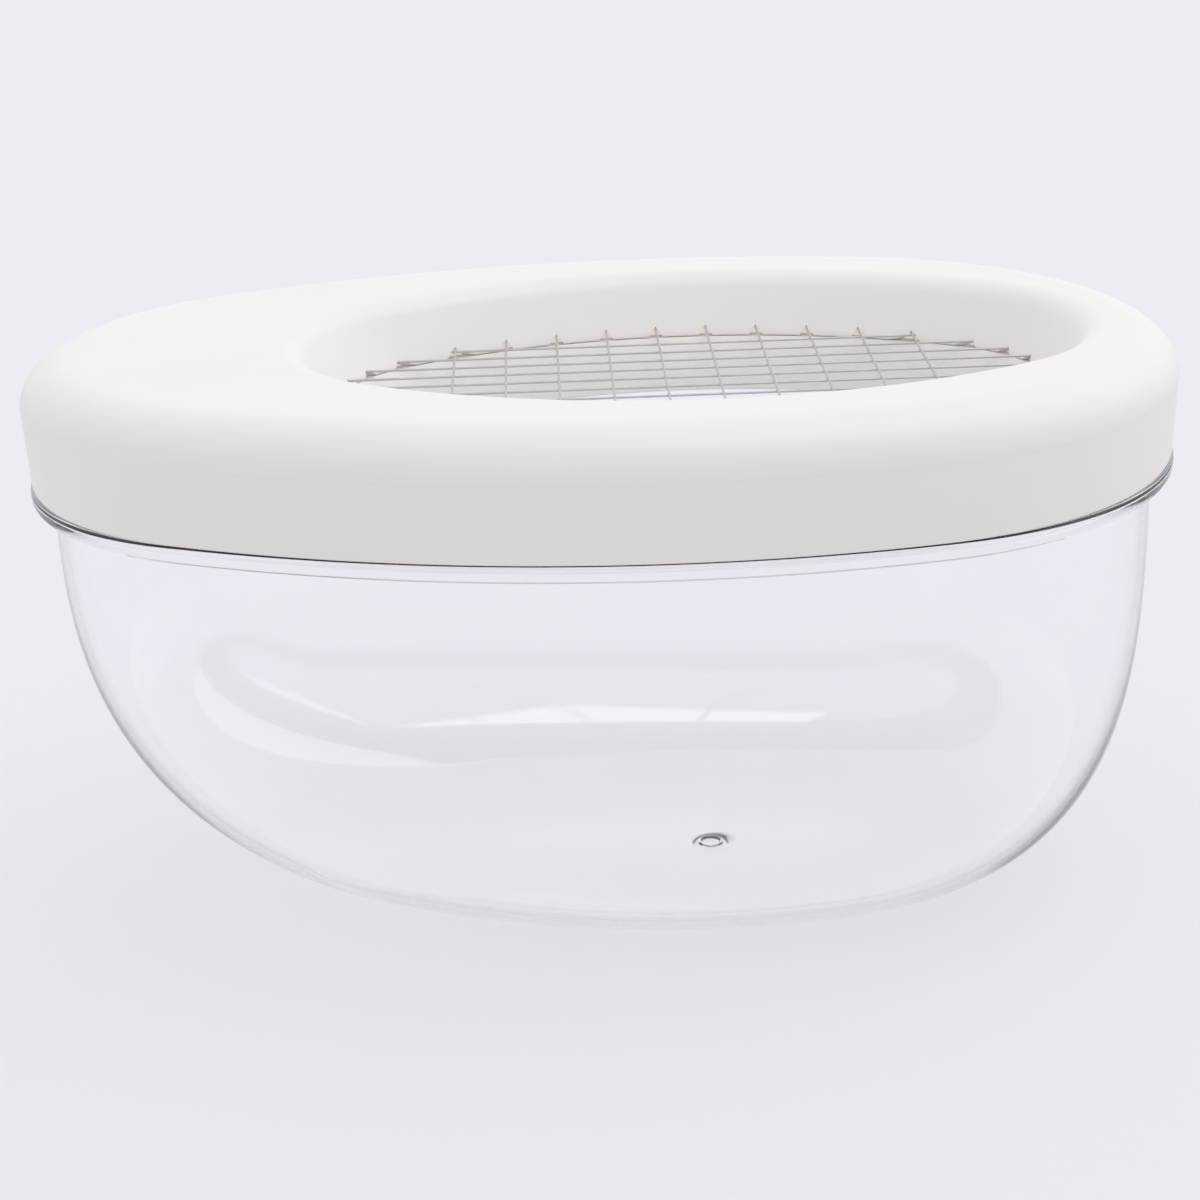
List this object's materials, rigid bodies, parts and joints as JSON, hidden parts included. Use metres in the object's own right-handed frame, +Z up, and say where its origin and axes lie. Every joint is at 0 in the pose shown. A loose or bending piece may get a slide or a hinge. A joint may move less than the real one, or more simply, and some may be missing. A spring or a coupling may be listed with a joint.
{
  "type": "hamster cage",
  "caption": "Clear egg-shaped plastic tub with a rounded lift-off lid whose oval opening is closed by a welded wire grille.",
  "frame": {"origin": "centre of the rim's length and width, at the height of the surface that the tub stands on", "axes": "+X from the narrow end to the wide end, +Y to the back, +Z up"},
  "size_m": [0.4314, 0.2754, 0.216],
  "materials": {
    "clear_polystyrene": "clear moulded polystyrene, glossy",
    "white_abs": "warm white moulded ABS, satin",
    "wire_steel": "bright nickel-plated steel wire",
    "screw_steel": "zinc-plated steel"
  },
  "bodies": {
    "tub": {"tub": "clear_polystyrene"},
    "lid": {"lid_shell": "white_abs", "mesh_retainer": "white_abs", "retainer_screws": "screw_steel", "long_wire_01": "wire_steel", "long_wire_02": "wire_steel", "long_wire_03": "wire_steel", "long_wire_04": "wire_steel", "long_wire_05": "wire_steel", "long_wire_06": "wire_steel", "long_wire_07": "wire_steel", "long_wire_08": "wire_steel", "long_wire_09": "wire_steel", "long_wire_10": "wire_steel", "cross_wire_01": "wire_steel", "cross_wire_02": "wire_steel", "cross_wire_03": "wire_steel", "cross_wire_04": "wire_steel", "cross_wire_05": "wire_steel", "cross_wire_06": "wire_steel", "cross_wire_07": "wire_steel", "cross_wire_08": "wire_steel", "cross_wire_09": "wire_steel", "cross_wire_10": "wire_steel"}
  },
  "joints": [
    {"name": "lid_lift", "type": "slide", "parent": "tub", "child": "lid", "axis": [0, 0, 1], "range_m": [0, 0.12]}
  ]
}
